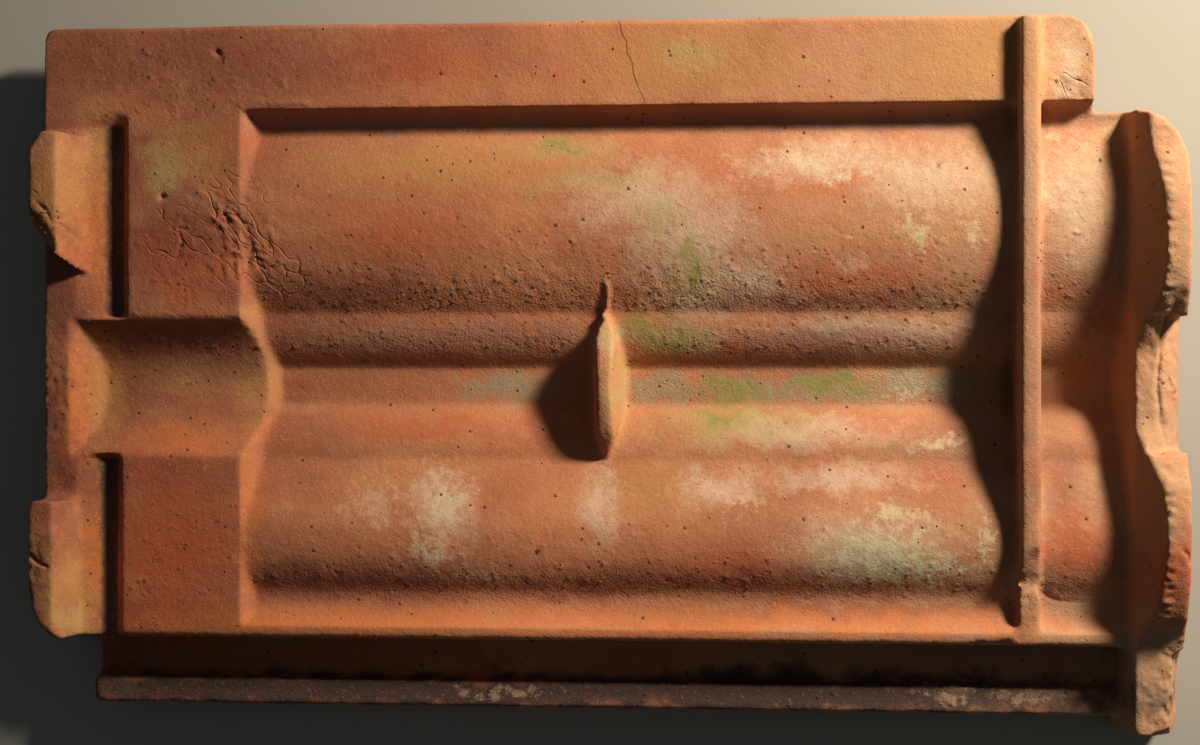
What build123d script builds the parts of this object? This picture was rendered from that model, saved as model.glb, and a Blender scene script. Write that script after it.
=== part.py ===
"""Pressed clay interlocking roof tile with two troughs, lying on its weather face.

Frame: +X runs from the head (nibs) to the foot (hooked lip), +Y to the water-channel
flange and +Z up, away from the weather face. The origin is on the floor, under the
middle of the tile. Everything is in millimetres.

The field's section is two lines of arcs: the weather side (below, with its two troughs,
the central ridge and the cover roll) and the back (above, with two barrels and the
stepped channel under the ridge). The foot lip is the weather line again, raised by the
step from one course of tiles to the next.
"""

import os
from math import atan2, cos, sin

from build123d import *

# Overall size
length = 408.0
width = 253.0
back_z = 28.0  # flat back: flange, head panels and rim
body_wall = 12.0

# Central ridge and the channel under it
ridge_y = -4.5
channel_floor_width = 14.0
channel_depth = 17.0
moulding_width = 19.5
moulding_rise = 8.0
ridge_top_width = 20.0
ridge_shoulder_width = 32.0
ridge_shoulder_z = 1.6
ridge_foot_width = 68.0
ridge_foot_z = 13.5

# Barrels on the back, troughs on the weather side
barrel_crest_drop = 0.5  # crest under the level of the flange
barrel_b_share = 0.67  # its crest's place on the second barrel, from the channel
barrel_b_knee_width = 14.6  # from the crest to the straight flank beside the channel
barrel_b_knee_drop = 2.7
trough_edge_z = 8.5  # at the trough's far side; the ridge's foot is higher
flange_cove_width = 10.0
flange_cove_drop = 7.7  # where the barrel turns up into the flange, under the flange
flange_wall_run = 1.4
flange_wall_height = 4.0

# Rim and cover flange on the -Y side
rim_inset = 35.5  # rim's inner edge, from the tile's edge
rim_cove_width = 14.5
rim_cove_drop = 4.6
rim_width = 4.3
rim_wall_lean = 2.2
cover_inset = 5.0  # the cover flange stands this far in from the lip's end
cover_groove_z = 9.5
cover_rib_z = 16.5
cover_rib_width = 9.0
cover_rib_lean = 2.0
cover_roll_width = 21.5
cover_head_gap = 15.0  # cover flange starts this far from the head

# Water-channel flange on the +Y side
flange_width = 30.5
flange_wall = 10.0
flange_foot_gap = 30.0  # flange ends this far from the foot
flange_corner_radius = 12.0
upstand_width = 7.0
upstand_z = 6.5
water_channel_width = 11.0
flange_rib_width = 4.0
flange_rib_z = 10.5
flange_rib_lean = 1.5

# Back of the head: panels, cove and groove
head_panel_length = 73.0
head_wall_run = 10.8  # the field's head wall slopes this far over the channel's depth
head_cove_width = 50.0
head_cove_depth = 12.0
head_cove_end = 9.5  # top of the cove's end wall, from the head
head_cove_run = 10.0
head_strip = 12.0
head_groove_length = 19.0  # from the strip to the panel
head_groove_skew = 2.3  # the groove on the rim's side ends this much nearer the head
head_groove_depth = 5.5
head_groove_floor = 3.5
head_groove_wall_lean = 2.5

# Hanging nibs
nib_height = 18.0
nib_length = 50.0
nib_inner_run = 6.0  # slope of the inner face over the nib's height
nib_slant = 17.5  # the nib is this much shorter at the head edge
nib_a_y = 62.0
nib_a_depth = 16.0
nib_a_slant_depth = 14.5
nib_b_y = -70.5
nib_b_depth = 13.0
nib_b_slant_depth = 4.0

# Weather side of the head
head_lap_z = 16.0
head_lap_length = 46.0
head_lap_run = 8.0
head_pad_z = 5.5
head_pad_gap = 9.0
head_rib_z = 6.0
head_rib_width = 9.0
head_rib_x = 30.0  # middle of the rib, from the head
head_rib_lean = 1.5
head_pad_taper = 25.0
head_corner_radius = 3.0

# Foot: rib and hooked lip
foot_rib_gap = 52.8  # middle of the rib, from the foot
foot_rib_width = 7.0
foot_rib_height = 6.0
foot_rib_lean = 1.2
course_step = 30.5  # the lip's free edge stands this far above the weather side
lip_depth = 23.0  # lip's inner wall at its root, from the foot
lip_knee_width = 17.0  # lip at the level of the ridge
lip_edge_width = 8.0
lip_corner_radius = 20.0
end_corner_radius = 6.0

# Fin across the channel
fin_x = 1.5
fin_top_width = 5.4
fin_root_width = 12.6
fin_length = 54.0
fin_height = 19.5

# Rounding
edge_round = 1.2
cover_round = 2.5
nib_round = 1.3

# Worked out from the sizes above
head_x = -length / 2
foot_x = length / 2
flange_y = width / 2
end_y = -width / 2
flange_inner_y = flange_y - flange_width
rim_inner_y = end_y + rim_inset
rim_outer_y = rim_inner_y - rim_width
cover_edge_y = end_y + cover_inset
cover_roll_edge_y = cover_edge_y + cover_roll_width
floor_z = back_z - channel_depth
moulding_z = floor_z + moulding_rise
crest_z = back_z - barrel_crest_drop
trough_z = crest_z - body_wall
half_floor = channel_floor_width / 2
half_channel = half_floor + moulding_width
step_a_y = ridge_y + half_channel
step_b_y = ridge_y - half_channel
cove_a_y = flange_inner_y - flange_cove_width
cove_b_y = rim_inner_y + rim_cove_width
barrel_a_y = (step_a_y + cove_a_y) / 2
barrel_b_y = step_b_y + barrel_b_share * (cove_b_y - step_b_y)
panel_x = head_x + head_panel_length
cover_head_x = head_x + cover_head_gap
flange_foot_x = foot_x - flange_foot_gap
foot_rib_x = foot_x - foot_rib_gap
lip_top_z = trough_z + course_step
lip_y = flange_inner_y - upstand_width / 2
upstand_y = flange_inner_y + upstand_width / 2
channel_z = back_z - flange_wall
channel_end_y = upstand_y + water_channel_width
lap_edge_y = 2 * barrel_b_y - ridge_y + ridge_foot_width / 2
nib_top_z = back_z + nib_height
above = 2 * nib_top_z  # well clear of the tile


def barrel_and_cove(middle_y, cove, wall):
    """A barrel from its crest down to the cove, and the cove's arc up to the wall beside it."""
    side = 1 if cove[0] > middle_y else -1
    slope = 2 * atan2(crest_z - cove[1], abs(cove[0] - middle_y))
    TangentArc((middle_y, crest_z), cove, tangent=(side, 0))
    TangentArc(cove, wall, tangent=(side * cos(slope), -sin(slope)))


def back_line():
    """The back of the field, from the flange to the rim."""
    wall_a = (flange_inner_y - flange_wall_run, back_z - flange_wall_height)
    Line((flange_inner_y, back_z), wall_a)
    barrel_and_cove(barrel_a_y, (cove_a_y, back_z - flange_cove_drop), wall_a)
    TangentArc((barrel_a_y, crest_z), (step_a_y, moulding_z), tangent=(-1, 0))
    # The channel: a floor between two rounded mouldings
    TangentArc((step_a_y, moulding_z), (ridge_y + half_floor, floor_z), tangent=(-1, 0))
    Line((ridge_y + half_floor, floor_z), (ridge_y - half_floor, floor_z))
    TangentArc((step_b_y, moulding_z), (ridge_y - half_floor, floor_z), tangent=(1, 0))
    knee_b = (barrel_b_y + barrel_b_knee_width, crest_z - barrel_b_knee_drop)
    Line((step_b_y, moulding_z), knee_b)
    TangentArc((barrel_b_y, crest_z), knee_b, tangent=(1, 0))
    barrel_and_cove(barrel_b_y, (cove_b_y, back_z - rim_cove_drop), (rim_inner_y, back_z))


def ridge_side(side, rise):
    """One side of the ridge on the weather face: shoulder, then down to the trough's edge."""
    top = (ridge_y + side * ridge_top_width / 2, rise)
    shoulder = (ridge_y + side * ridge_shoulder_width / 2, ridge_shoulder_z + rise)
    foot = (ridge_y + side * ridge_foot_width / 2, ridge_foot_z + rise)
    TangentArc(top, shoulder, tangent=(side, 0))
    Line(shoulder, foot)


def weather_line(rise):
    """The weather face from the cover roll to the upstand, raised by rise."""
    half_foot = ridge_foot_width / 2
    edge_b = (ridge_y - half_foot, ridge_foot_z + rise)
    far_b = (2 * barrel_b_y - ridge_y + half_foot, trough_edge_z + rise)
    Line((cover_edge_y, rise), (cover_roll_edge_y, rise))
    TangentArc((cover_roll_edge_y, rise), far_b, tangent=(1, 0))
    ThreePointArc(far_b, (barrel_b_y, trough_z + rise), edge_b)
    ridge_side(-1, rise)
    Line((ridge_y - ridge_top_width / 2, rise), (ridge_y + ridge_top_width / 2, rise))
    ridge_side(1, rise)
    edge_a = (ridge_y + half_foot, ridge_foot_z + rise)
    far_a = (2 * barrel_a_y - ridge_y - half_foot, trough_edge_z + rise)
    ThreePointArc(edge_a, (barrel_a_y, trough_z + rise), far_a)
    Line(far_a, (lip_y, upstand_z + rise))


def rib_section(middle_x, top_width, top_z, lean):
    """Side view of a rib or fin: level on top, wider towards its foot."""
    with BuildSketch(Plane.XZ) as section:
        with BuildLine():
            half = top_width / 2
            Polyline(
                (middle_x - half - lean, 0),
                (middle_x - half, top_z),
                (middle_x + half, top_z),
                (middle_x + half + lean, 0),
                close=True,
            )
        make_face()
    return section.sketch


def groove_section(wall_x, start_y):
    """Side view of the head groove at start_y: a long slope down, a floor and a steep wall at wall_x."""
    with BuildSketch(Plane.XZ.offset(-start_y)) as section:
        with BuildLine():
            strip_x = head_x + head_strip
            groove_z = back_z - head_groove_depth
            Polyline(
                (strip_x, back_z),
                (wall_x - head_groove_wall_lean - head_groove_floor, groove_z),
                (wall_x - head_groove_wall_lean, groove_z),
                (wall_x, back_z),
                (wall_x, above),
                (strip_x, above),
                close=True,
            )
        make_face()
    return section.sketch


def hanging_nib(middle_y, depth, slant_depth):
    """A nib: upright at the head edge, sloped inside, its end away from the flange on the slant."""
    root_z = head_lap_z + edge_round
    with BuildPart() as nib:
        with BuildSketch(Plane.XZ.offset(-middle_y)):
            with BuildLine():
                Polyline(
                    (head_x, root_z),
                    (head_x, nib_top_z),
                    (head_x + depth - nib_inner_run, nib_top_z),
                    (head_x + depth, back_z),
                    (head_x + depth, root_z),
                    close=True,
                )
            make_face()
        extrude(amount=nib_length, both=True)
        with BuildSketch():
            with BuildLine():
                Polyline(
                    (head_x, middle_y + nib_length / 2),
                    (head_x + depth, middle_y + nib_length / 2),
                    (head_x + depth, middle_y - nib_length / 2),
                    (head_x + slant_depth, middle_y - nib_length / 2),
                    (head_x, middle_y - nib_length / 2 + nib_slant),
                    close=True,
                )
            make_face()
        extrude(amount=above, mode=Mode.INTERSECT)
        fillet(nib.faces().sort_by(Axis.Z)[-1].edges(), nib_round)
    return nib.part


# The field pocket: the back line along the tile, with its head wall sloped
with BuildPart() as pocket:
    with BuildSketch(Plane.YZ.offset(head_x)):
        with BuildLine():
            back_line()
            Polyline((flange_inner_y, back_z), (flange_inner_y, above), (rim_inner_y, above), (rim_inner_y, back_z))
        make_face()
    extrude(amount=length)
    with BuildSketch(Plane.XZ):
        with BuildLine():
            wall_run = head_wall_run / channel_depth
            Polyline(
                (panel_x - wall_run * (above - back_z), above),
                (panel_x + wall_run * back_z, 0),
                (foot_x, 0),
                (foot_x, above),
                close=True,
            )
        make_face()
    extrude(amount=length, both=True, mode=Mode.INTERSECT)

# The head cove over the ridge: a shallow trough on the back that ends in a sloped wall
with BuildPart() as cove:
    with BuildSketch(Plane.YZ.offset(head_x)):
        with BuildLine():
            cove_a = (ridge_y + head_cove_width / 2, back_z)
            cove_b = (ridge_y - head_cove_width / 2, back_z)
            ThreePointArc(cove_a, (ridge_y, back_z - head_cove_depth), cove_b)
            Polyline(cove_a, (cove_a[0], above), (cove_b[0], above), cove_b)
        make_face()
    extrude(amount=head_panel_length + head_wall_run)
    with BuildSketch(Plane.XZ):
        with BuildLine():
            end_x = head_x + head_cove_end
            end_run = head_cove_run / head_cove_depth
            Polyline(
                (end_x - end_run * (above - back_z), above),
                (end_x + end_run * back_z, 0),
                (foot_x, 0),
                (foot_x, above),
                close=True,
            )
        make_face()
    extrude(amount=length, both=True, mode=Mode.INTERSECT)

# The foot lip: from the weather face up to the same line one course higher
with BuildPart() as lip:
    with BuildSketch(Plane.YZ.offset(foot_x - 2 * lip_depth)):
        with BuildLine():
            weather_line(0)
            weather_line(course_step)
            Line((lip_y, upstand_z), (lip_y, upstand_z + course_step))
            Polyline((cover_edge_y, 0), (end_y, 0), (end_y, course_step), (cover_edge_y, course_step))
        make_face()
    extrude(amount=2 * lip_depth)
    with BuildSketch(Plane.XZ):
        with BuildLine():
            Polyline(
                (foot_x - lip_depth, 0),
                (foot_x - lip_knee_width, course_step),
                (foot_x - lip_edge_width, lip_top_z),
                (foot_x, lip_top_z),
                (foot_x, 0),
                close=True,
            )
        make_face()
    extrude(amount=length, both=True, mode=Mode.INTERSECT)

# The foot rib: fills the pocket across the field and runs on over the flange and the rim
with BuildPart() as foot_rib:
    add(pocket.part)
    with BuildSketch(Plane.XY.offset(back_z)):
        with Locations((foot_rib_x, rim_outer_y)):
            Rectangle(4 * foot_rib_width, flange_y - edge_round - rim_outer_y, align=(Align.CENTER, Align.MIN))
    extrude(amount=above - back_z)
    rib_face = rib_section(foot_rib_x, foot_rib_width, back_z + foot_rib_height, foot_rib_lean)
    extrude(rib_face, amount=length, both=True, mode=Mode.INTERSECT)
    fillet(foot_rib.faces().sort_by(Axis.Z)[-1].edges().filter_by(Axis.Y), edge_round)

# The fin that crosses the channel at mid-length: pointed at both ends, thicker at its root
with BuildPart() as fin:
    add(pocket.part)
    fin_top_z = floor_z + fin_height
    root_lean = (fin_root_width - fin_top_width) / 2 * fin_top_z / fin_height
    fin_face = rib_section(fin_x, fin_top_width, fin_top_z, root_lean)
    extrude(fin_face, amount=length, both=True, mode=Mode.INTERSECT)
    with BuildSketch(Plane.YZ.offset(fin_x - fin_root_width)):
        with BuildLine():
            fin_a = (ridge_y + fin_length / 2, moulding_z)
            fin_b = (ridge_y - fin_length / 2, moulding_z)
            ThreePointArc(fin_a, (ridge_y, fin_top_z), fin_b)
            Polyline(fin_a, (fin_a[0], 0), (fin_b[0], 0), fin_b)
        make_face()
    extrude(amount=2 * fin_root_width, mode=Mode.INTERSECT)
    with BuildSketch():
        with BuildLine():
            tip_a = (fin_x, ridge_y + fin_length / 2)
            tip_b = (fin_x, ridge_y - fin_length / 2)
            ThreePointArc(tip_a, (fin_x + fin_root_width / 2, ridge_y), tip_b)
            ThreePointArc(tip_a, (fin_x - fin_root_width / 2, ridge_y), tip_b)
        make_face()
    extrude(amount=above, mode=Mode.INTERSECT)

# The head groove on the back, on both sides of the cove
with BuildPart() as head_groove:
    wall_x = head_x + head_strip + head_groove_length
    cove_y = ridge_y + head_cove_width / 2
    extrude(groove_section(wall_x, flange_inner_y), amount=flange_inner_y - cove_y)
    cove_y = ridge_y - head_cove_width / 2
    extrude(groove_section(wall_x - head_groove_skew, cove_y), amount=cove_y - end_y)

nib_a = hanging_nib(nib_a_y, nib_a_depth, nib_a_slant_depth)
nib_b = hanging_nib(nib_b_y, nib_b_depth, nib_b_slant_depth)

with BuildPart() as tile:
    # Pressed blank: the weather face below, the flat back above
    with BuildSketch(Plane.YZ.offset(head_x)) as blank:
        with BuildLine():
            weather_line(0)
            Polyline(
                (lip_y, upstand_z),
                (upstand_y, upstand_z),
                (upstand_y + flange_rib_lean, channel_z),
                (channel_end_y - flange_rib_lean, channel_z),
                (channel_end_y, flange_rib_z),
                (channel_end_y + flange_rib_width, flange_rib_z),
                (channel_end_y + flange_rib_width + flange_rib_lean, channel_z),
                (flange_y - flange_rib_width - flange_rib_lean, channel_z),
                (flange_y - flange_rib_width, flange_rib_z),
                (flange_y, flange_rib_z),
                (flange_y, back_z),
                (rim_outer_y, back_z),
                (rim_outer_y - rim_wall_lean, cover_groove_z),
                (cover_edge_y + cover_rib_width + cover_rib_lean, cover_groove_z),
                (cover_edge_y + cover_rib_width, cover_rib_z),
                (cover_edge_y, cover_rib_z),
                (cover_edge_y, 0),
            )
        make_face()
        for corner, radius in (
            ((flange_y, back_z), edge_round),
            ((flange_y, flange_rib_z), edge_round),
            ((flange_y - flange_rib_width, flange_rib_z), edge_round),
            ((rim_outer_y, back_z), edge_round),
            ((cover_edge_y + cover_rib_width, cover_rib_z), edge_round),
            ((cover_edge_y, cover_rib_z), edge_round),
            ((cover_edge_y, 0), cover_round),
        ):
            fillet(blank.vertices().sort_by_distance(corner)[0], radius)
    extrude(amount=length)

    # Back of the tile
    add(pocket.part, mode=Mode.SUBTRACT)
    add(cove.part, mode=Mode.SUBTRACT)
    add(head_groove.part, mode=Mode.SUBTRACT)
    add(foot_rib.part)
    add(fin.part)

    # Weather side of the head, let down for the course above
    with BuildSketch(Plane.XZ.offset(-lip_y)):
        with BuildLine():
            lap_x = head_x + head_lap_length
            Polyline(
                (head_x, 0),
                (head_x, head_lap_z),
                (lap_x - head_lap_run, head_lap_z),
                (lap_x, 0),
                close=True,
            )
        make_face()
    extrude(amount=lip_y - lap_edge_y, mode=Mode.SUBTRACT)

    # A pad that carries the wall over the head cove
    with BuildSketch(Plane.XY.offset(head_lap_z)):
        with Locations((head_x + head_pad_gap, ridge_y)):
            Rectangle(head_lap_length, ridge_foot_width, align=(Align.MIN, Align.CENTER))
    extrude(amount=head_pad_z - head_lap_z, taper=head_pad_taper)

    # The rib that the foot rib of the tile above hooks over
    with BuildSketch(Plane.XZ.offset(-lip_y)):
        with BuildLine():
            rib_x = head_x + head_rib_x
            Polyline(
                (rib_x - head_rib_width / 2, head_lap_z),
                (rib_x - head_rib_width / 2 + head_rib_lean, head_rib_z),
                (rib_x + head_rib_width / 2 - head_rib_lean, head_rib_z),
                (rib_x + head_rib_width / 2, head_lap_z),
                close=True,
            )
        make_face()
    extrude(amount=lip_y - lap_edge_y)

    # Plan outline: the cover flange starts late, the water-channel flange ends early
    with BuildSketch() as outline:
        with BuildLine():
            Polyline(
                (head_x, rim_outer_y),
                (head_x, flange_y),
                (flange_foot_x, flange_y),
                (flange_foot_x, lip_y),
                (foot_x, lip_y),
                (foot_x, end_y),
                (foot_x - 2 * lip_depth, end_y),
                (foot_x - 2 * lip_depth, cover_edge_y),
                (cover_head_x, cover_edge_y),
                (cover_head_x, rim_outer_y),
                close=True,
            )
        make_face()
        for corner, radius in (
            ((flange_foot_x, flange_y), flange_corner_radius),
            ((foot_x, lip_y), lip_corner_radius),
            ((foot_x, end_y), end_corner_radius),
            ((head_x, flange_y), head_corner_radius),
        ):
            fillet(outline.vertices().sort_by_distance(corner)[0], radius)
    add(lip.part)
    extrude(amount=above, mode=Mode.INTERSECT)

    add(nib_a)
    add(nib_b)

tile.part.label = "tile"
os.makedirs("parts", exist_ok=True)
export_step(tile.part, "parts/tile.step")
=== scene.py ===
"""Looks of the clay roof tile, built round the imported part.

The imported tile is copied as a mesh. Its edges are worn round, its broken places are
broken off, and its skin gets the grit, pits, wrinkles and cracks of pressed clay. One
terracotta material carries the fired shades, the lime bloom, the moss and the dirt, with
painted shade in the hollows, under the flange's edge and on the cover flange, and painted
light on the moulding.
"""

import math
import random

import bmesh
import bpy
import numpy as np
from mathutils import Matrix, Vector, kdtree, noise


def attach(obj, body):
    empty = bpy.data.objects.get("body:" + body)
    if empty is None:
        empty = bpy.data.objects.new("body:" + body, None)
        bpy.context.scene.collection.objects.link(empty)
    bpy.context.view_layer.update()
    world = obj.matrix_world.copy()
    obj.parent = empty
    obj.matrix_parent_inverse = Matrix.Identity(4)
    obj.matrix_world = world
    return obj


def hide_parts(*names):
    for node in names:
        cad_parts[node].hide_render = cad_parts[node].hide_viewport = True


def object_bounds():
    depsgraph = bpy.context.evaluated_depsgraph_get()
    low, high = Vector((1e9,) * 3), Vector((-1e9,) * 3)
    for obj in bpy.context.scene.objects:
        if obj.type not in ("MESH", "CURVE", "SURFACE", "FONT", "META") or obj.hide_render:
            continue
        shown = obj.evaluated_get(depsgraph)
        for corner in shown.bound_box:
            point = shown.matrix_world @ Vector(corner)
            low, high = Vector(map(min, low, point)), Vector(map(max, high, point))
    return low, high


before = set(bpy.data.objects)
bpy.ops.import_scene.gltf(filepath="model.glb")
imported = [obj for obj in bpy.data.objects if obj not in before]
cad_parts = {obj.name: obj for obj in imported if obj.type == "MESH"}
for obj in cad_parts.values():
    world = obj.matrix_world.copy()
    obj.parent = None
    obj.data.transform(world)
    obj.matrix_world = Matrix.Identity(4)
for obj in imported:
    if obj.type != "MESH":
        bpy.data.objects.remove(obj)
cad_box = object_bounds()
scene = bpy.context.scene

MM = 0.001
BACK = 28.0  # the flat back of the tile, mm above the floor
TOP = 46.0  # the tops of the nibs and the lip, mm above the floor
LENGTH, WIDTH = 408, 253  # of the tile, mm
box_low, box_high = np.array(cad_box[0]) / MM, np.array(cad_box[1]) / MM

# The camera that took the photograph, worked out from the tile's outline in it
PHOTO_WIDTH = 1200
PHOTO_MIDDLE = (600, 372.5)
LENS = 63.0
SENSOR = 36.0
FOCAL = PHOTO_WIDTH * LENS / SENSOR  # in the photograph's pixels
TILT = 0.0901  # the camera leans this far towards the foot, radians
REACH = 750.0  # from the camera to the back of the tile, mm
MIDDLE_Y = 0.5  # where the camera stands across the tile, mm


def seen(px, py, z=BACK):
    """The point of the tile, in mm, that the photograph shows at a pixel, at height z."""
    across = (px - PHOTO_MIDDLE[0]) / FOCAL
    up = z - BACK
    x = across * (REACH - up * math.cos(TILT)) + up * math.sin(TILT)
    x /= math.cos(TILT) + across * math.sin(TILT)
    depth = REACH - x * math.sin(TILT) - up * math.cos(TILT)
    return x, MIDDLE_Y + (PHOTO_MIDDLE[1] - py) / FOCAL * depth, z


PIXEL = REACH / FOCAL  # mm of the back that one pixel shows


# The tile's clay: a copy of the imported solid, worked over as a mesh

def with_modifiers(thing):
    """A new mesh of a thing, as its modifiers leave it."""
    return bpy.data.meshes.new_from_object(
        thing.evaluated_get(bpy.context.evaluated_depsgraph_get()))


def even_skin(mesh, voxel):
    """The mesh made again as one even skin, with faces of voxel mm."""
    lump = bpy.data.objects.new("lump", mesh)
    scene.collection.objects.link(lump)
    remesh = lump.modifiers.new("even skin", "REMESH")
    remesh.mode = "VOXEL"
    remesh.voxel_size = voxel * MM
    even = with_modifiers(lump)
    bpy.data.objects.remove(lump)
    return even


def read(mesh, what, scale):
    """The coordinates or normals of a mesh's points, times a scale."""
    flat = np.empty(len(mesh.vertices) * 3, dtype=np.float32)
    mesh.vertices.foreach_get(what, flat)
    return flat.reshape(-1, 3).astype(float) * scale


def put(mesh, points):
    """Moves a mesh's points to new places, given in mm."""
    mesh.vertices.foreach_set("co", (points * MM).astype(np.float32).ravel())
    mesh.update()


def rubbed(mesh, times):
    """A copy of the mesh's points, in mm, with the mesh rubbed smooth so many times."""
    rubbing = bmesh.new()
    rubbing.from_mesh(mesh)
    for _ in range(times):
        bmesh.ops.smooth_vert(
            rubbing, verts=rubbing.verts, factor=0.5,
            use_axis_x=True, use_axis_y=True, use_axis_z=True)
    smooth = np.array([v.co for v in rubbing.verts]) / MM
    rubbing.free()
    return smooth


def lumps(points, size, seed):
    """Smooth noise from about -1 to 1 at each point, with lumps of about size mm.

    The seed is any whole number, and each gives other noise.
    """
    shift = Vector((37.1 * seed, 17.3 * seed, 5.7 * seed))
    return np.array([noise.noise(Vector(p) / size + shift) for p in points])


def sideways(points, size, seed):
    """A lumpy push along x and y for each point, and none along z."""
    return np.column_stack([
        lumps(points, size, seed), lumps(points, size, seed + 1), np.zeros(len(points))])


def between(values, low, high):
    return (values > low) & (values < high)


def bell(values, middle, half):
    """1 where a value is in the middle, fading to nothing a little past half from it."""
    return np.exp(-(((values - middle) / half) ** 2))


def fading(points, spot, reach):
    """1 at a spot, fading to nothing a little past reach mm from it."""
    return np.exp(-2 * (np.linalg.norm(points - np.array(spot), axis=1) / reach) ** 2)


def broken(points, spot, facing, reach, rough, seed):
    """Breaks off what stands past a rough plane at spot. facing points out of the clay."""
    facing = np.array(Vector(facing).normalized())
    spot = np.array(spot, dtype=float)
    near = np.linalg.norm(points - spot, axis=1) < reach
    held = points[near]
    roughness = lumps(held, 6, seed) + 0.6 * lumps(held, 2.5, seed + 1)
    past = (held - spot) @ facing + rough * roughness
    points[near] = held - np.outer(np.maximum(past, 0), facing)


def gap_to(points, path):
    """How far each point is from a path seen from above, and how far along the path it is.

    The first is in mm, and the second runs from 0 to 1.
    """
    best = np.full(len(points), 1e9)
    along = np.zeros(len(points))
    for k in range(len(path) - 1):
        start, end = np.array(path[k][:2]), np.array(path[k + 1][:2])
        run = end - start
        t = np.clip(((points[:, :2] - start) @ run) / (run @ run), 0, 1)
        gap = np.linalg.norm(points[:, :2] - start - np.outer(t, run), axis=1)
        nearer = gap < best
        best[nearer] = gap[nearer]
        along[nearer] = (k + t[nearer]) / (len(path) - 1)
    return best, along


WELD = 0.01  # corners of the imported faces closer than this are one, mm
FIRST_SKIN, SECOND_SKIN = 1.0, 0.8  # faces of the skin before and after the breaks, mm
blank = bmesh.new()
blank.from_mesh(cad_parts["tile"].data)
bmesh.ops.remove_doubles(blank, verts=blank.verts, dist=WELD * MM)
skin = bpy.data.meshes.new("tile_skin")
blank.to_mesh(skin)
blank.free()
skin = even_skin(skin, FIRST_SKIN)
clay = read(skin, "co", 1 / MM)

# The nibs round over gently to the head, and fall off only at its edge
NIB_ROUNDS = -190  # from this x to the head
ROUNDS_OVER = 5  # mm in which the rounding comes in
on_nib = (clay[:, 2] > BACK) & (clay[:, 0] < NIB_ROUNDS)
fallen = np.clip((TOP - clay[on_nib, 2]) / (TOP - BACK), 0, 1)
toward_head = np.clip((NIB_ROUNDS - clay[on_nib, 0]) / ROUNDS_OVER, 0, 1)
clay[on_nib, 2] += (TOP - BACK) * (fallen - fallen ** 5) * toward_head

# Broken places: (spot, out of the clay, reach, roughness)
BREAKS = [
    # nib beside the flange: its corners at the head are gone, its end is chipped
    (seen(36, 137, 46), (-0.8, 0.6, 0.15), 12, 0.3),
    (seen(26, 180, 45.6), (-0.6, 0.05, 1), 12, 0.5),
    (seen(28, 228, 46), (-1, -0.6, 0.1), 8, 0.5),
    (seen(44, 228, 45.4), (-0.3, -0.3, 1), 9, 0.5),
    # nib beside the rim
    (seen(28, 508, 46), (-1, 0.35, 0.1), 9, 0.3),
    (seen(27, 575, 45.4), (-0.8, -0.1, 1), 9, 0.6),
    (seen(28, 603, 45), (-1, -0.55, 0.2), 12, 0.5),
    (seen(42, 628, 45), (-0.55, -1, 0.4), 12, 0.4),
    # foot rib: slants down to the back over the second barrel, and is gone over the rim
    (seen(1032, 571, 29.5), (0.3, -0.5, 1), 9, 0.4),
    (seen(1029, 612, 28), (-0.04, -0.02, 1), 13, 0.4),
    (seen(1029, 642, 28), (-0.04, -0.02, 1), 12, 0.4),
    # and small chips in its edge
    (seen(1021, 92, 33.5), (-1, 0.1, 0.7), 4, 0.4),
    (seen(1021, 298, 34), (-1, 0.2, 0.8), 3, 0.4),
    (seen(1020, 432, 34), (-1, 0.2, 0.8), 3, 0.4),
    # lip: its lower end, the notch above it, the outer half of its low middle, its ends
    (seen(1172, 702, 30), (1, -0.05, 0.2), 17, 1.2),
    (seen(1168, 712, 30), (0.55, 0, 1), 13, 1.2),
    (seen(1184, 650, 30), (1, -0.5, 0.2), 9, 1.0),
    (seen(1181, 676, 30), (1, 0.5, 0.2), 9, 0.8),
    (seen(1164, 733, 28), (0.5, -1, 0.5), 10, 0.9),
    (seen(1162, 384, 30.5), (0.8, 0, 1), 25, 0.7),
    (seen(1177, 384, 25), (1, 0, 0.3), 23, 0.7),
    (seen(1184, 298, 43), (0.5, -0.5, 1), 9, 0.3),
    (seen(1187, 462, 42), (0.7, 0.8, 0.8), 8, 0.6),
    (seen(1184, 618, 44), (0.2, -0.9, 0.9), 8, 0.7),
    (seen(1147, 122, 42), (-0.6, 0.7, 1), 12, 0.6),
    # chips out of the rim and the edges of the flange
    (seen(196, 639), (0, -1, 1), 3, 0.5),
    (seen(222, 641), (0, -1, 1), 3.5, 0.6),
    (seen(985, 640), (0.1, -1, 1), 9, 0.5),
    (seen(1091, 40), (1, 0.4, 1), 7, 0.5),
    (seen(684, 104), (0, -1, 1), 2.6, 0.4),
]
for seed, (spot, facing, reach, rough) in enumerate(BREAKS):
    broken(clay, spot, facing, reach, rough, 3 * seed + 1)

# The head groove is worn a little shallower on both sides of the cove, and runs out softly
# into the flange, without an end wall
GROOVE_X = (-194, -171.5)
GROOVE_HALF = 96.5  # of its length
HALF_DEEP = 20  # mm above the floor: under this is the weather side
COVE = (-30, 19)  # from y, to y
WORN_SHARE = 0.25  # of the groove's depth
WORN_FROM = 3  # mm in which the wear comes in beside the cove
RUN_OUT = (87, 96)  # from y, to y
in_groove = (between(clay[:, 0], *GROOVE_X) & between(clay[:, 1], -GROOVE_HALF, GROOVE_HALF)
             & (clay[:, 2] > HALF_DEEP))
across = clay[in_groove, 1]
past_cove = np.maximum(across - COVE[1], COVE[0] - across)
worn = WORN_SHARE * np.clip(past_cove / WORN_FROM, 0, 1)
run_out = np.clip((across - RUN_OUT[0]) / (RUN_OUT[1] - RUN_OUT[0]), 0, 1)
filled = np.maximum(worn, run_out * run_out * (3 - 2 * run_out))
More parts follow.
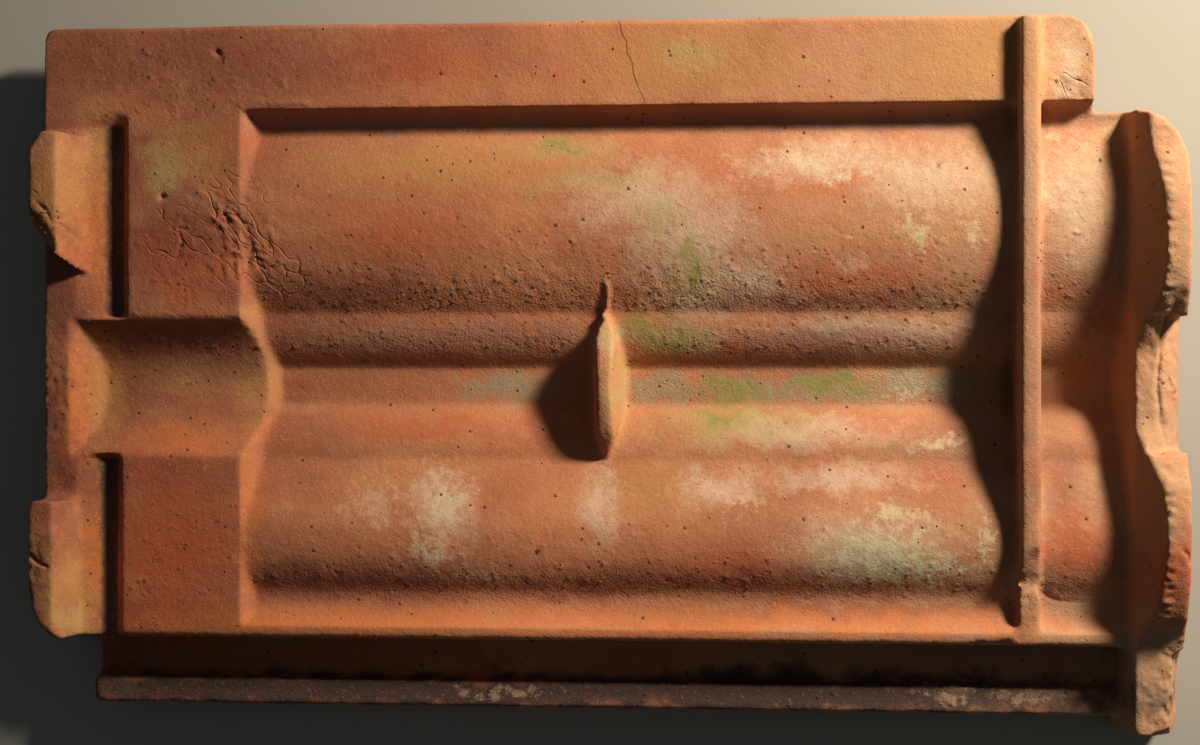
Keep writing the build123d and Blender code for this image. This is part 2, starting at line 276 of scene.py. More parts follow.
clay[in_groove, 2] += np.maximum(BACK - clay[in_groove, 2], 0) * filled
put(skin, clay)

skin = even_skin(skin, SECOND_SKIN)
put(skin, rubbed(skin, 2))
clay = read(skin, "co", 1 / MM)
out = read(skin, "normal", 1)
# How far each point stands out from a well rubbed skin, in mm, which is most at an edge
edges = np.einsum("ij,ij->i", clay - rubbed(skin, 6), out)
# 1 on the back of the tile, 0 on its weather side and close to the floor
on_back = np.clip((clay[:, 2] - 4) / 6, 0, 1) * np.clip(out[:, 2] * 4 + 0.4, 0, 1)

# Waviness of the whole tile, lumps of the clay, an uneven back, and edges that are worn in
# places. The relief is how far each point moves out of the clay, in mm.
WAVES, CLAY_LUMPS, UNEVEN = 0.28, 0.12, 0.09  # heights, mm
relief = WAVES * lumps(clay, 60, 71) + CLAY_LUMPS * lumps(clay, 12, 72)
back = on_back > 0
relief[back] += on_back[back] * UNEVEN * lumps(clay[back], 3.0, 73)
relief -= np.clip(edges, 0, 1) * np.clip(1.5 * lumps(clay, 7, 74) + 0.4, 0, 1.4)

# Grit that the mould left on the lower flanks of the barrels and on the moulding
HEAD_LAP = -132  # the head lap, which has none, ends at this x
LOW_FLANKS = [(31, 8, 0.10), (13, 6, 0.06), (-74, 7, 0.05)]  # (y, half width, height)
for y, half, high in LOW_FLANKS:
    flank = bell(clay[:, 1], y, half) * (clay[:, 0] > HEAD_LAP) * on_back
    chosen = flank > 0.05
    held = clay[chosen]
    sandy = lumps(held, 1.8, 75) + 0.5 * lumps(held, 3.2, 76)
    relief[chosen] += high * flank[chosen] * sandy

# Rough places: (spot, reach, depth, size of the lumps)
ROUGH = [
    # both nibs, the lower end of the lip, the end of the foot rib, the head edge
    (seen(34, 222, 45), 10, 0.7, 2.6),
    (seen(24, 560, 44), 14, 0.8, 2.6),
    (seen(1168, 705, 28), 16, 1.1, 3.0),
    (seen(1178, 660, 30), 10, 0.8, 3.0),
    (seen(1029, 592, 29), 12, 0.5, 2.6),
    (seen(52, 390, 26), 34, 0.40, 3.0),
    # the lip's top and middle, the head panel's edge, the flange's and the lip's ends
    (seen(1167, 250, 44), 30, 0.25, 3.0),
    (seen(1174, 384, 27), 22, 0.7, 2.6),
    (seen(1182, 545, 46), 30, 0.25, 3.0),
    (seen(60, 390), 30, 0.25, 4.0),
    (seen(1075, 95), 12, 0.30, 2.6),
    (seen(1140, 115, 40), 12, 0.5, 3.0),
]
for seed, (spot, reach, depth, size) in enumerate(ROUGH):
    near = fading(clay, spot, reach)
    chosen = near > 0.02
    uneven = np.abs(lumps(clay[chosen], size, 90 + seed))
    relief[chosen] -= depth * near[chosen] * uneven * 1.6

# Ragged inner edge of the lip, where the mould's halves met
LIP_EDGE = 196.5  # x
ON_LIP = 33  # mm above the floor, which only the lip reaches there
on_edge = bell(clay[:, 0], LIP_EDGE, 1.6) * (clay[:, 2] > ON_LIP)
chosen = on_edge > 0.05
relief[chosen] += 0.9 * on_edge[chosen] * lumps(clay[chosen] * (0.3, 1, 1), 2.2, 110)

# Wrinkles where the clay dragged, as folds and tears: (spot, reach, depth)
WRINKLES = [
    (seen(230, 220), 20, 0.62), (seen(252, 268, 24), 15, 0.42), (seen(185, 240), 12, 0.36),
    (seen(1070, 88), 10, 0.40), (seen(655, 292, 22), 26, 0.20), (seen(162, 232), 9, 0.35)]
DRAG = np.array([[0.9, 0.5, 0], [-0.5, 0.9, 0], [0, 0, 1.0]])  # the way it was dragged
for spot, reach, depth in WRINKLES:
    near = fading(clay, spot, reach)
    chosen = near > 0.03
    held = clay[chosen]
    held = held + 2.2 * sideways(held, 7, 121)
    drag = held @ DRAG * (0.5, 1.2, 1.0)
    fold = np.clip(1 - np.abs(lumps(drag, 4.2, 120)) * 4.5, 0, 1)
    tear = np.clip(1 - np.abs(lumps(drag * (1.0, 0.6, 1.0), 2.4, 123)) * 4.0, 0, 1)
    patchy = np.clip(0.7 + 1.4 * lumps(held, 6, 124), 0, 1.3)
    relief[chosen] += depth * near[chosen] * patchy * (fold - 0.9 * tear)

# Cracks, pits, seams and flashes, drawn from above: (path, half width, depth, lowest
# height). A flash has a depth under nothing, so it stands up.
LINES = [
    # the crack of one nib and two of the other
    ([seen(22, 553, 46), seen(29, 556, 46), seen(36, 562, 46), seen(50, 567, 44)],
     0.5, 1.2, 20),
    ([seen(24, 205, 46), seen(36, 222, 46), seen(46, 232, 45), seen(60, 224, 44),
      seen(70, 238, 42)], 0.45, 0.8, 20),
    ([seen(34, 202, 46), seen(46, 210, 46), seen(52, 222, 45), seen(64, 216, 44)],
     0.45, 0.6, 20),
    # a pit in the head panel, the flash along the flange's inner edge, a pit in the flange
    ([seen(160, 196), seen(164, 198)], 1.1, 1.3, 20),
    ([seen(250, 103), seen(266, 101), seen(284, 104), seen(308, 102)], 0.7, -0.6, 20),
    ([seen(214, 50), seen(220, 56)], 1.0, 1.0, 20),
    # the crack and the seam of the lip
    ([seen(1182, 548, 46), seen(1190, 556, 46), seen(1194, 566, 46)], 0.6, 0.6, 30),
    ([seen(1174, 303, 37), seen(1164, 330, 31), seen(1160, 356, 30.5),
      seen(1158, 385, 30.5), seen(1161, 415, 30.5), seen(1170, 446, 36)], 0.9, 1.1, 24),
    # the thin neck of clay above the fin
    ([seen(606.5, 283, 21), seen(608.5, 292, 20.5), seen(607, 304, 20),
      seen(605, 318, 19)], 0.75, -2.0, 14),
    # deep creases beside the wrinkles, and one beyond the broken end of the foot rib
    ([seen(232, 210), seen(246, 226), seen(252, 246), seen(248, 262)], 0.6, 0.7, 20),
    ([seen(176, 262), seen(182, 240), seen(196, 228)], 0.6, 0.4, 20),
    ([seen(1040, 590, 26), seen(1052, 600, 24), seen(1090, 604, 24)], 0.6, 0.4, 14),
]
BESIDE = 12  # mm past a path that are looked at
for path, half, depth, lowest in LINES:
    middle = np.mean(np.array(path), axis=0)
    length = np.ptp(np.array(path), axis=0).max()
    close = np.flatnonzero(np.linalg.norm(clay - middle, axis=1) < length + BESIDE)
    held = clay[close]
    gap, along = gap_to(held + 0.5 * sideways(held, 4, 140), path)
    if depth > 0:
        faded = np.minimum(1, 8 * np.minimum(along, 1 - along) + 0.25)
    else:
        faded = 0.25 + 0.75 * along
    drawn = depth * faded * np.exp(-((gap / half) ** 2))
    relief[close] -= drawn * (held[:, 2] > lowest) * (out[close, 2] > 0.1)

# Pimples and pits of the pressed surface, one pit to two pimples
PIMPLES = 2000
BANDS = [  # (from x, to x, from y, to y, share)
    (-190, 185, 20, 52, 0.30), (-190, 185, 4, 20, 0.12), (-190, 185, -84, -52, 0.16),
    (-190, 185, -110, 110, 0.28), (-192, -110, 93, 120, 0.10), (155, 172, 40, 100, 0.04)]
finder = kdtree.KDTree(len(clay))
for i, p in enumerate(clay):
    finder.insert(p, i)
finder.balance()
random.seed(34)
for _ in range(PIMPLES):
    x_from, x_to, y_from, y_to, _share = random.choices(BANDS, [row[4] for row in BANDS])[0]
    spot = Vector((random.uniform(x_from, x_to), random.uniform(y_from, y_to), 26))
    centre, _index, _gap = finder.find(spot)
    width = random.uniform(0.45, 0.85)
    height = random.choice((1, 1, -1)) * random.uniform(0.14, 0.42)
    for _, i, gap in finder.find_range(centre, 2 * width):
        relief[i] += height * math.exp(-((gap / width) ** 2) * 2)
clay += out * relief[:, None]
clay = np.clip(clay, box_low, box_high)
put(skin, clay)

# One smooth piece, with fewer triangles than the 200,000 that a piece may have. Each face
# of the skin has four sides, so it makes two.
MOST_FACES = 196000
tile = bpy.data.objects.new("roof_tile", skin)
scene.collection.objects.link(tile)
thin = tile.modifiers.new("fewer faces", "DECIMATE")
thin.ratio = min(1.0, MOST_FACES / (2 * len(skin.polygons)))
thin.use_collapse_triangulate = True
tile_mesh = with_modifiers(tile)
tile.modifiers.clear()
put(tile_mesh, np.clip(read(tile_mesh, "co", 1 / MM), box_low, box_high))
tile.data = tile_mesh
tile_mesh.name = "roof_tile"
tile_mesh.polygons.foreach_set("use_smooth", [True] * len(tile_mesh.polygons))
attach(tile, "root")
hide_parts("tile")


# Where dirt and damp stay, and where shade is painted: how far each point lies under the
# clay around it, in mm, from a height map of the back in steps of 1 mm

def averaged(heights, half):
    """The height map averaged over squares that reach half mm each way."""
    for axis in (0, 1):
        total = np.zeros_like(heights)
        for step in range(-half, half + 1):
            total += np.roll(heights, step, axis=axis)
        heights = total / (2 * half + 1)
    return heights


MARGIN = 20  # mm of floor round the tile in the map
SMALL, LARGE = 4, 11  # the reach of the two squares that a height is averaged over, mm
columns, rows = LENGTH + 2 * MARGIN, WIDTH + 2 * MARGIN
corner = box_low[:2] - MARGIN
upper = clay[out[:, 2] > 0.2]
cells = np.floor(upper[:, :2] - corner).astype(int)
heights = np.zeros((columns, rows))
np.maximum.at(heights, (cells[:, 0], cells[:, 1]), upper[:, 2])
around = 0.5 * averaged(heights, SMALL) + 0.5 * averaged(heights, LARGE)
points = read(tile_mesh, "co", 1 / MM)
cells = np.clip(np.floor(points[:, :2] - corner).astype(int), 0, (columns - 1, rows - 1))


def mark(name, amounts):
    """Keeps an amount at each point of the tile's mesh, for the terracotta to read."""
    kept = tile_mesh.attributes.new(name, "FLOAT", "POINT")
    kept.data.foreach_set("value", amounts.astype(np.float32))


mark("hollow", around[cells[:, 0], cells[:, 1]] - points[:, 2])

facing_up = np.clip((read(tile_mesh, "normal", 1)[:, 2] + 0.1) / 0.3, 0, 1)
strayed = points + 5 * sideways(points, 10, 150) + 2.5 * sideways(points, 4, 152)
strayed = strayed[:, :2]


def spotted(spots):
    """1 in the middle of each spot to 0 at its ragged edge, seen from above.

    A spot is (x, y, half length, half width) in the photograph's pixels, and may end with
    the degrees that its length is turned from the tile's.
    """
    most = np.zeros(len(points))
    for px, py, half_x, half_y, *turn in spots:
        away = strayed - seen(px, py)[:2]
        lean = math.radians(sum(turn))
        lengthways = away @ (math.cos(lean), math.sin(lean)) / (half_x * PIXEL)
        crossways = away @ (-math.sin(lean), math.cos(lean)) / (half_y * PIXEL)
        most = np.maximum(most, 1 - np.hypot(lengthways, crossways))
    return np.clip(most, 0, 1) * facing_up


# Terracotta: iron-rich clay, pressed in a mould and fired without a glaze. It looks matt
# and sandy, orange-red where it is clean and browner where the kiln or the weather
# reached it, with dark grains, pale sand and small pits in its skin.

def colour(code):
    """A linear RGBA colour from an sRGB hex code."""
    parts = [int(code[i:i + 2], 16) / 255 for i in (1, 3, 5)]
    return [c / 12.92 if c <= 0.04045 else ((c + 0.055) / 1.055) ** 2.4 for c in parts] + [1.0]


terracotta = bpy.data.materials.new("pressed_fired_terracotta")
terracotta.use_nodes = True
terracotta.node_tree.nodes.clear()


def add(kind, inputs, output=0, **settings):
    """Adds a node to the terracotta, sets or links its inputs, and gives back one output."""
    made = terracotta.node_tree.nodes.new("ShaderNode" + kind)
    for name, value in settings.items():
        setattr(made, name, value)
    for socket, value in inputs.items():
        if isinstance(value, bpy.types.NodeSocket):
            terracotta.node_tree.links.new(value, made.inputs[socket])
        else:
            made.inputs[socket].default_value = value
    return made.outputs[output] if made.outputs else made


# Sockets by number: those of a Mix node set to colours, those of a MapRange node, which
# turns FROM..UNTIL into LEAST..MOST, and the output of an Attribute node that is one number
SHARE, UNDER, OVER, MIXED = 0, 6, 7, 2
VALUE, FROM, UNTIL, LEAST, MOST = 0, 1, 2, 3, 4
NUMBER = 2

place = add("TexCoord", {}, output="Object")
flakes = add("TexNoise", {
    "Vector": place, "Scale": 1 / (3.2 * MM), "Detail": 3.0, "Roughness": 0.68})


def clouded(under, code, size, low_at, high_at, most, stretch=(1, 1, 1)):
    """Lays a colour over the clay in clouds of size mm.

    It is thin where the noise is at low_at, and at most where it is at high_at.
    """
    moved = add("Mapping", {"Vector": place, "Scale": stretch})
    cloud = add("TexNoise", {
        "Vector": moved, "Scale": 1 / (size * MM), "Detail": 3.0, "Roughness": 0.6})
    share = add("MapRange", {
        VALUE: cloud, FROM: low_at, UNTIL: high_at, LEAST: 0.0, MOST: most}, clamp=True)
    return add("Mix", {SHARE: share, UNDER: under, OVER: colour(code)},
               output=MIXED, data_type="RGBA")


def stained(under, code, name, flaky, low_at, high_at, most):
    """Lays a colour over the clay where the mesh is marked, in flakes the more flaky it is."""
    spread = add("Attribute", {}, output=NUMBER, attribute_name=name)
    lifted = add("Math", {0: flakes, 1: flaky, 2: spread}, operation="MULTIPLY_ADD")
    cover = add("MapRange", {
        VALUE: lifted, FROM: low_at + flaky / 2, UNTIL: high_at + flaky / 2,
        LEAST: 0.0, MOST: most}, clamp=True)
    inside = add("MapRange", {
        VALUE: spread, FROM: 0.0, UNTIL: 0.2, LEAST: 0.0, MOST: 1.0}, clamp=True)
    share = add("Math", {0: cover, 1: inside}, operation="MULTIPLY")
    return add("Mix", {SHARE: share, UNDER: under, OVER: colour(code)},
               output=MIXED, data_type="RGBA")


# The clay itself: browner to the head, paler and yellower to the foot
place_x = add("SeparateXYZ", {0: place})
to_middle = add("MapRange", {
    VALUE: place_x, FROM: -0.19, UNTIL: -0.03, LEAST: 0.0, MOST: 1.0}, clamp=True)
to_foot = add("MapRange", {
    VALUE: place_x, FROM: 0.0, UNTIL: 0.17, LEAST: 0.0, MOST: 1.0}, clamp=True)
body = add("Mix", {SHARE: to_middle, UNDER: colour("#8d5235"), OVER: colour("#c2774c")},
           output=MIXED, data_type="RGBA")
body = add("Mix", {SHARE: to_foot, UNDER: body, OVER: colour("#b2845d")},
           output=MIXED, data_type="RGBA")
body = clouded(body, "#8f4f37", 48, 0.48, 0.70, 0.50)
body = clouded(body, "#cb8a58", 22, 0.48, 0.70, 0.50, stretch=(0.4, 1, 1))
body = clouded(body, "#b8603a", 13, 0.50, 0.68, 0.40)

# Stains by place in the photograph, as spots, with painted shade and painted light among them
YELLOWED = [
    (70, 190, 34, 80), (95, 390, 30, 100), (78, 590, 34, 70), (100, 170, 26, 90),
    (102, 570, 24, 70), (185, 160, 60, 45), (430, 165, 190, 40), (690, 60, 160, 60),
    (980, 60, 150, 70), (640, 490, 80, 40), (250, 360, 26, 120), (616, 385, 12, 90)]
REDDENED = [
    (700, 175, 70, 26), (860, 275, 130, 40), (170, 550, 80, 120), (190, 270, 80, 70),
    (720, 565, 120, 50), (820, 180, 90, 30), (1075, 545, 60, 70), (900, 480, 100, 26),
    (1182, 560, 30, 80), (400, 230, 130, 40), (430, 430, 150, 20), (870, 425, 90, 22),
    (420, 60, 130, 50)]
# Browner clay, and painted shade on the cover flange's rib and beside the foot rib, under the
# lip's shadow
BROWNED_AND_SHADE = [
    (330, 292, 200, 26), (800, 300, 220, 12), (330, 580, 260, 30), (700, 580, 260, 22),
    (640, 592, 330, 14), (60, 300, 18, 40), (62, 470, 18, 60), (210, 350, 100, 40),
    (56, 420, 16, 80), (180, 240, 90, 60), (270, 60, 210, 60), (820, 612, 320, 16),
    (1065, 480, 40, 70), (560, 697, 640, 22)]
FIRED = [(1180, 578, 44, 60), (1082, 556, 44, 52), (175, 550, 110, 160)]
# Pale haze, and painted light on the moulding's top
HAZE_AND_LIGHT = [
    (690, 240, 100, 90), (740, 280, 90, 40), (800, 432, 150, 26), (440, 510, 50, 70, 20),
    (650, 200, 120, 60), (1075, 200, 50, 100), (930, 180, 110, 50), (820, 160, 140, 34, 4),
    (600, 505, 34, 70), (870, 545, 120, 50), (900, 330, 120, 20), (720, 490, 70, 34),
    (850, 480, 120, 24), (1065, 60, 34, 60), (660, 335, 130, 24), (860, 328, 130, 12),
    (690, 300, 60, 30)]
LICHEN = [
    (590, 178, 110, 24, 8), (560, 145, 90, 24), (655, 215, 50, 40), (162, 172, 30, 46),
    (730, 425, 150, 30), (885, 550, 90, 34), (690, 275, 50, 50), (690, 52, 50, 24),
    (614, 380, 26, 100), (80, 620, 26, 24)]
# Painted shade: the greyer colour that the shade takes under the flange's edge and on the
# shaded slope of the moulding
PAINTED_SHADE_TINT = [
    (400, 114, 340, 18), (840, 114, 340, 18), (1070, 110, 60, 14), (430, 337, 200, 20),
    (860, 340, 150, 18)]
ORANGED = [
    (360, 622, 420, 20), (800, 622, 420, 20), (98, 240, 24, 100), (100, 560, 26, 90),
    (190, 440, 110, 26), (70, 395, 20, 90), (250, 520, 16, 110)]
# Dark soil on the cover flange's rib, and painted shade there, where the rim's shadow falls
SOIL_AND_SHADE = [(360, 697, 640, 26), (800, 697, 500, 26)]
CHALKED = [
    (440, 495, 46, 66, 15), (425, 548, 48, 40), (370, 505, 46, 46), (482, 575, 48, 34),
    (604, 495, 16, 56), (705, 488, 34, 24), (745, 502, 28, 20), (800, 158, 120, 22, 6),
    (870, 172, 90, 20), (930, 205, 70, 40), (885, 550, 100, 44), (1055, 130, 14, 20),
    (915, 385, 70, 22), (930, 445, 60, 16), (850, 262, 30, 16), (500, 697, 90, 10),
    (950, 697, 50, 12), (1030, 700, 60, 10)]
GREY = [
    (500, 388, 70, 24), (920, 386, 70, 24), (800, 388, 170, 20), (660, 390, 60, 20),
    (880, 560, 80, 34)]
MOSS = [
    (668, 336, 74, 28), (640, 326, 52, 24), (730, 390, 70, 22), (820, 384, 90, 14),
    (720, 418, 60, 14), (692, 266, 14, 40), (560, 145, 34, 12)]
LIME = [
    (800, 158, 74, 13, 6), (860, 172, 50, 12), (922, 235, 40, 26), (974, 232, 20, 32),
    (885, 545, 88, 36), (930, 570, 54, 26), (845, 560, 34, 22), (900, 515, 54, 16),
    (985, 545, 22, 44), (915, 396, 64, 12), (940, 446, 44, 10), (440, 500, 28, 44, 15),
    (425, 550, 30, 24)]
# The kiln's yellow, red and brown shades, the brown partly painted shade, lie under haze
# with painted light, lichen, the painted colour of the shade under the flange's edge, clean
# orange clay, soil with painted shade, chalky bloom, a grey film and moss, with the lime on
# top
STAINS = [  # (name, colour, spots, how flaky, none at, full at, at most)
    ("yellowed", "#b98144", YELLOWED, 0.8, 0.10, 0.75, 0.60),
    ("reddened", "#bb562d", REDDENED, 0.9, 0.15, 0.80, 0.50),
    ("browned_and_shade", "#763a2f", BROWNED_AND_SHADE, 0.9, 0.10, 0.80, 0.50),
    ("fired_red", "#b2512c", FIRED, 0.9, 0.10, 0.80, 0.60),
    ("haze_and_painted_light", "#d6b591", HAZE_AND_LIGHT, 1.0, 0.20, 0.90, 0.65),
    ("lichen", "#b09a5e", LICHEN, 1.0, 0.15, 0.80, 0.50),
    ("painted_shade_tint", "#a8765e", PAINTED_SHADE_TINT, 0.6, 0.05, 0.50, 0.55),
    ("oranged", "#c46c34", ORANGED, 0.9, 0.10, 0.70, 0.60),
    ("soil_and_shade", "#453931", SOIL_AND_SHADE, 0.7, 0.05, 0.55, 0.88),
    ("chalked", "#d0a47c", CHALKED, 2.6, 0.40, 0.95, 0.55),
    ("grey_film", "#98906c", GREY, 1.5, 0.10, 0.60, 0.60),
    ("moss", "#87812f", MOSS, 1.4, 0.15, 0.80, 0.70),
    ("lime", "#cfba8c", LIME, 2.6, 0.45, 0.95, 0.60),
]
# Soil and painted shade lie on the floor of the head groove too, and the painted colour of
# the shade under the flange's edge lies only there
GROOVE_SHADE_TOP, SHADE_TINT_TOP = 25.2, 27.4  # mm above the floor
COVE_MIDDLE, COVE_HALF = -5.5, 25.5  # y
in_groove = (between(points[:, 0], GROOVE_X[0], -171)
             & (np.abs(points[:, 1] - COVE_MIDDLE) > COVE_HALF))
groove_soil_and_shade = (np.clip((GROOVE_SHADE_TOP - points[:, 2]) / 1.2, 0, 1) * in_groove * facing_up
               * (points[:, 2] > HALF_DEEP))
under_flange = np.clip((SHADE_TINT_TOP - points[:, 2]) / 1.4, 0, 1)
for name, code, spots, flaky, low_at, high_at, most in STAINS:
    amount = spotted(spots)
    if spots is SOIL_AND_SHADE:
        amount = np.maximum(amount, groove_soil_and_shade)
    if spots is PAINTED_SHADE_TINT:
        amount = amount * under_flange
    mark(name, amount)
    body = stained(body, code, name, flaky, low_at, high_at, most)

# Sand near half a millimetre, pale and dark, drawn a little coarser so that it shows
sand = add("TexNoise", {
    "Vector": place, "Scale": 1 / (0.8 * MM), "Detail": 1.0, "Roughness": 0.6})
pale_sand = add("MapRange", {
    VALUE: sand, FROM: 0.60, UNTIL: 0.80, LEAST: 0.0, MOST: 0.35}, clamp=True)
body = add("Mix", {SHARE: pale_sand, UNDER: body, OVER: colour("#dcae86")},
           output=MIXED, data_type="RGBA")
dark_sand = add("MapRange", {
    VALUE: sand, FROM: 0.38, UNTIL: 0.22, LEAST: 0.0, MOST: 0.35}, clamp=True)
body = add("Mix", {SHARE: dark_sand, UNDER: body, OVER: colour("#5b3022")},
           output=MIXED, data_type="RGBA")

# A few dark grains up to 1.5 mm across that stand up all over the tile, and many pits up
# to a millimetre across, largest on the lower flanks and in the channel. Each Voronoi
# cell has its own random colour, which sets the size of the grain or pit in it.
THICK = [
    (600, 294, 560, 34), (560, 345, 460, 26), (560, 592, 500, 28), (900, 388, 90, 30),
    (680, 388, 90, 24), (1075, 330, 50, 90), (1040, 600, 90, 30)]
mark("crowded", spotted(THICK))
crowded = add("Attribute", {}, output=NUMBER, attribute_name="crowded")
pit_reach = add("MapRange", {
    VALUE: crowded, FROM: 0.0, UNTIL: 0.6, LEAST: 0.04, MOST: 0.17}, clamp=True)
GRAINS_APART, PITS_APART = 5.2, 2.9  # mm
few = add("TexVoronoi", {"Vector": place, "Scale": 1 / (GRAINS_APART * MM)})
many = add("TexVoronoi", {"Vector": place, "Scale": 1 / (PITS_APART * MM)})
few_size = add("SeparateColor", {0: few.node.outputs["Color"]})
many_size = add("SeparateColor", {0: many.node.outputs["Color"]})
few_edge = add("Math", {0: few_size, 1: 0.15}, operation="MULTIPLY")
many_edge = add("Math", {0: many_size, 1: pit_reach}, operation="MULTIPLY")
few_past = add("Math", {0: few_edge, 1: few}, operation="SUBTRACT")
many_past = add("Math", {0: many_edge, 1: many}, operation="SUBTRACT")
grains = add("MapRange", {
    VALUE: few_past, FROM: 0.0, UNTIL: 0.04, LEAST: 0.0, MOST: 0.7}, clamp=True)
many_pits = add("MapRange", {
    VALUE: many_past, FROM: 0.0, UNTIL: 0.03, LEAST: 0.0, MOST: 0.8}, clamp=True)
dark_spots = add("Math", {0: grains, 1: many_pits}, operation="MAXIMUM")
body = add("Mix", {SHARE: dark_spots, UNDER: body, OVER: colour("#3a1e14")},
           output=MIXED, data_type="RGBA")

# The hairline crack across the flange, a third of a millimetre wide, with its wander. It
# is measured in half lengths along it and in millimetres across it.
CRACK_HALF = 16.5  # of its length, mm
CRACK_TURN = -70  # degrees from the tile's length
CRACK_STRAYS = 6  # mm, from end to end of the noise
crack_x, crack_y, _ = seen(632, 62)
wander = add("TexNoise", {
    "Vector": place, "Scale": 1 / (9 * MM), "Detail": 1.0}, output="Color")
wander = add("VectorMath", {0: wander, 1: (0.5, 0.5, 0.5)}, operation="SUBTRACT")
wandered = add("VectorMath", {
    0: wander, 1: (CRACK_STRAYS * MM, CRACK_STRAYS * MM, 0.0), 2: place},
    operation="MULTIPLY_ADD")
crack_place = add("Mapping", {
    "Vector": wandered,
    "Location": (crack_x * MM, crack_y * MM, 0.0),
    "Rotation": (0, 0, math.radians(CRACK_TURN)),
    "Scale": (CRACK_HALF * MM, 1 * MM, 1.0)}, vector_type="TEXTURE")
crack_parts = add("SeparateXYZ", {0: crack_place})
lengthways = add("Math", {0: crack_parts}, operation="ABSOLUTE")
beside = add("Math", {0: crack_parts.node.outputs["Y"]}, operation="ABSOLUTE")
in_crack = add("MapRange", {
    VALUE: beside, FROM: 0.28, UNTIL: 0.10, LEAST: 0.0, MOST: 0.8}, clamp=True)
crack_end = add("MapRange", {
    VALUE: lengthways, FROM: 1.0, UNTIL: 0.9, LEAST: 0.0, MOST: 1.0}, clamp=True)
crack = add("Math", {0: in_crack, 1: crack_end}, operation="MULTIPLY")
body = add("Mix", {SHARE: crack, UNDER: body, OVER: colour("#4a281b")},
           output=MIXED, data_type="RGBA")

# Darker in hollows that lie 3.5 mm and more under the clay around them: dirt held there,
# and painted shade
hollow = add("Attribute", {}, output=NUMBER, attribute_name="hollow")
dirt_and_shade_in_hollows = add("MapRange", {
    VALUE: hollow, FROM: 3.5, UNTIL: 10.0, LEAST: 0.0, MOST: 0.75}, clamp=True)
body = add("Mix", {SHARE: dirt_and_shade_in_hollows, UNDER: body, OVER: colour("#54301f")},
           output=MIXED, data_type="RGBA")

# How high the skin stands, in metres: fine unevenness, grit and grains
fine = add("TexNoise", {
    "Vector": place, "Scale": 1 / (2.0 * MM), "Detail": 2.0, "Roughness": 0.62})
skin_height = add("Math", {0: fine, 1: 0.26 * MM}, operation="MULTIPLY")
grit = add("MapRange", {
    VALUE: crowded, FROM: 0.0, UNTIL: 0.7, LEAST: 0.13 * MM, MOST: 0.30 * MM}, clamp=True)
skin_height = add("Math", {0: sand, 1: grit, 2: skin_height}, operation="MULTIPLY_ADD")
skin_height = add("Math", {0: grains, 1: 0.8 * MM, 2: skin_height}, operation="MULTIPLY_ADD")

# Creases of the wrinkled places, a third of a millimetre wide, too thin for the mesh
WRINKLED = [
    (234, 218, 50, 54), (184, 245, 44, 46), (262, 274, 60, 32), (1070, 88, 26, 16),
    (50, 222, 34, 38)]
mark("wrinkled", spotted(WRINKLED))
wrinkled = add("Attribute", {}, output=NUMBER, attribute_name="wrinkled")
DRAG_TURN = -50  # degrees from the tile's length, and the creases run 2.2 times as far
dragged = add("Mapping", {
    "Vector": place, "Rotation": (0, 0, math.radians(DRAG_TURN)), "Scale": (2.2, 1, 1)},
    vector_type="TEXTURE")
folds = add("TexNoise", {
    "Vector": dragged, "Scale": 1 / (6.5 * MM), "Detail": 1.0, "Roughness": 0.5})
off_fold = add("Math", {0: folds, 1: 0.5}, operation="SUBTRACT")
off_fold = add("Math", {0: off_fold}, operation="ABSOLUTE")
crease = add("MapRange", {
    VALUE: off_fold, FROM: 0.030, UNTIL: 0.0, LEAST: 0.0, MOST: 1.0}, clamp=True)
crease_depth = add("MapRange", {
    VALUE: wrinkled, FROM: 0.05, UNTIL: 0.50, LEAST: 0.0, MOST: 0.45 * MM}, clamp=True)
creased = add("Math", {0: crease, 1: crease_depth}, operation="MULTIPLY")
skin_height = add("Math", {0: skin_height, 1: creased}, operation="SUBTRACT")
bump = add("Bump", {"Height": skin_height, "Distance": 1.0, "Strength": 0.8})
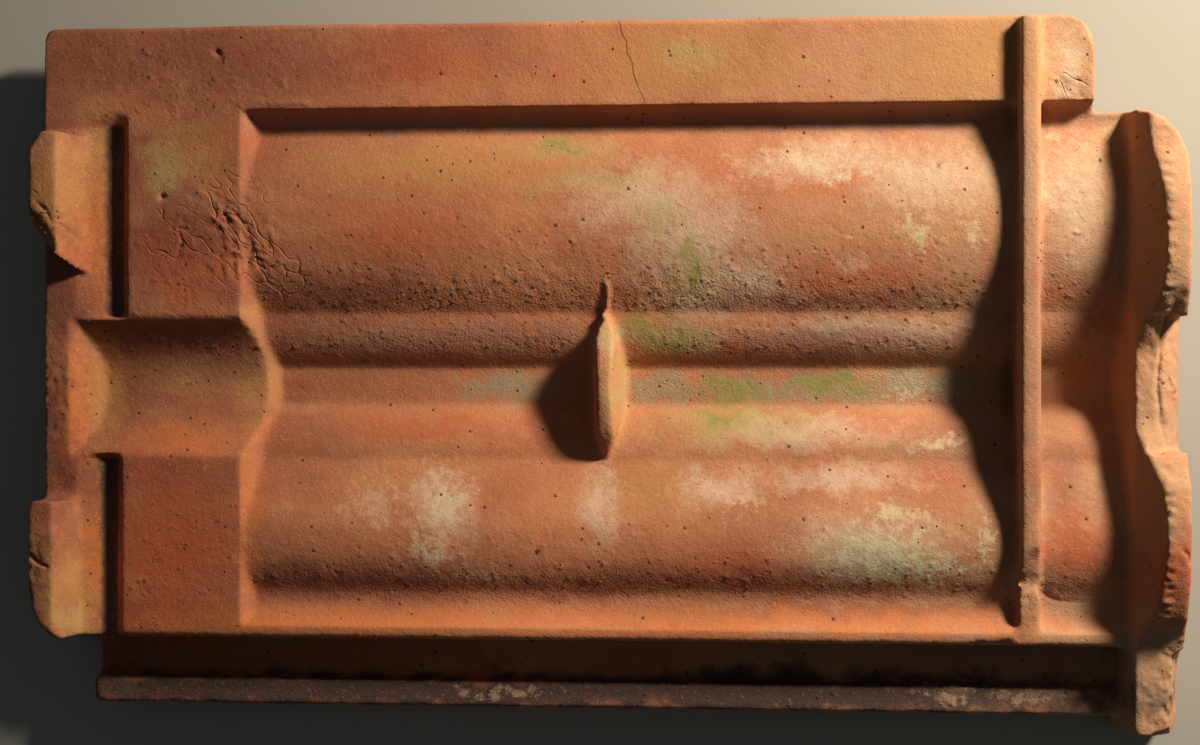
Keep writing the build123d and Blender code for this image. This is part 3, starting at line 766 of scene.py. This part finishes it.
shader = add("BsdfPrincipled", {
    "Base Color": body, "Normal": bump, "Roughness": 0.92, "IOR": 1.5,
    "Specular IOR Level": 0.25})
add("OutputMaterial", {"Surface": shader})
tile_mesh.materials.clear()
tile_mesh.materials.append(terracotta)


# Floor, lamp and camera. The floor is pale plaster, trowelled flat and left unpainted, so
# it looks even and matt.

FLOOR_REACH = 4.0  # from the middle to each edge, metres
floor_mesh = bpy.data.meshes.new("floor")
slab = bmesh.new()
bmesh.ops.create_grid(slab, x_segments=1, y_segments=1, size=FLOOR_REACH)
slab.to_mesh(floor_mesh)
slab.free()
floor = bpy.data.objects.new("floor", floor_mesh)
scene.collection.objects.link(floor)
plain = bpy.data.materials.new("pale_plaster")
plain.use_nodes = True
plain_shader = plain.node_tree.nodes["Principled BSDF"]
plain_shader.inputs["Base Color"].default_value = colour("#a99f8c")
plain_shader.inputs["Roughness"].default_value = 0.9
floor_mesh.materials.append(plain)

# Weak bluish light from all round, for the shade
world = bpy.data.worlds.new("studio")
world.use_nodes = True
world.node_tree.nodes["Background"].inputs["Color"].default_value = (0.68, 0.83, 1.0, 1)
world.node_tree.nodes["Background"].inputs["Strength"].default_value = 0.07
scene.world = world

# One low lamp off the corner of flange and foot, which shines along the back
LAMP_PLACE = Vector((0.52, 0.42, 0.325))
LAMP_AIMS_AT = Vector((0, 0, 0.24))
key = bpy.data.lights.new("key", "AREA")
key.size = 0.11
key.energy = 10.2
key.color = (1.0, 0.96, 0.9)
key_lamp = bpy.data.objects.new("key", key)
key_lamp.location = LAMP_PLACE
key_lamp.rotation_euler = (LAMP_PLACE - LAMP_AIMS_AT).to_track_quat("Z", "Y").to_euler()
scene.collection.objects.link(key_lamp)

camera_data = bpy.data.cameras.new("camera")
camera_data.lens = LENS
camera_data.sensor_width = SENSOR
camera = bpy.data.objects.new("camera", camera_data)
camera.location = (
    REACH * MM * math.sin(TILT), MIDDLE_Y * MM, BACK * MM + REACH * MM * math.cos(TILT))
camera.rotation_euler = (0, TILT, 0)
scene.collection.objects.link(camera)
scene.camera = camera
scene.view_settings.view_transform = "Standard"
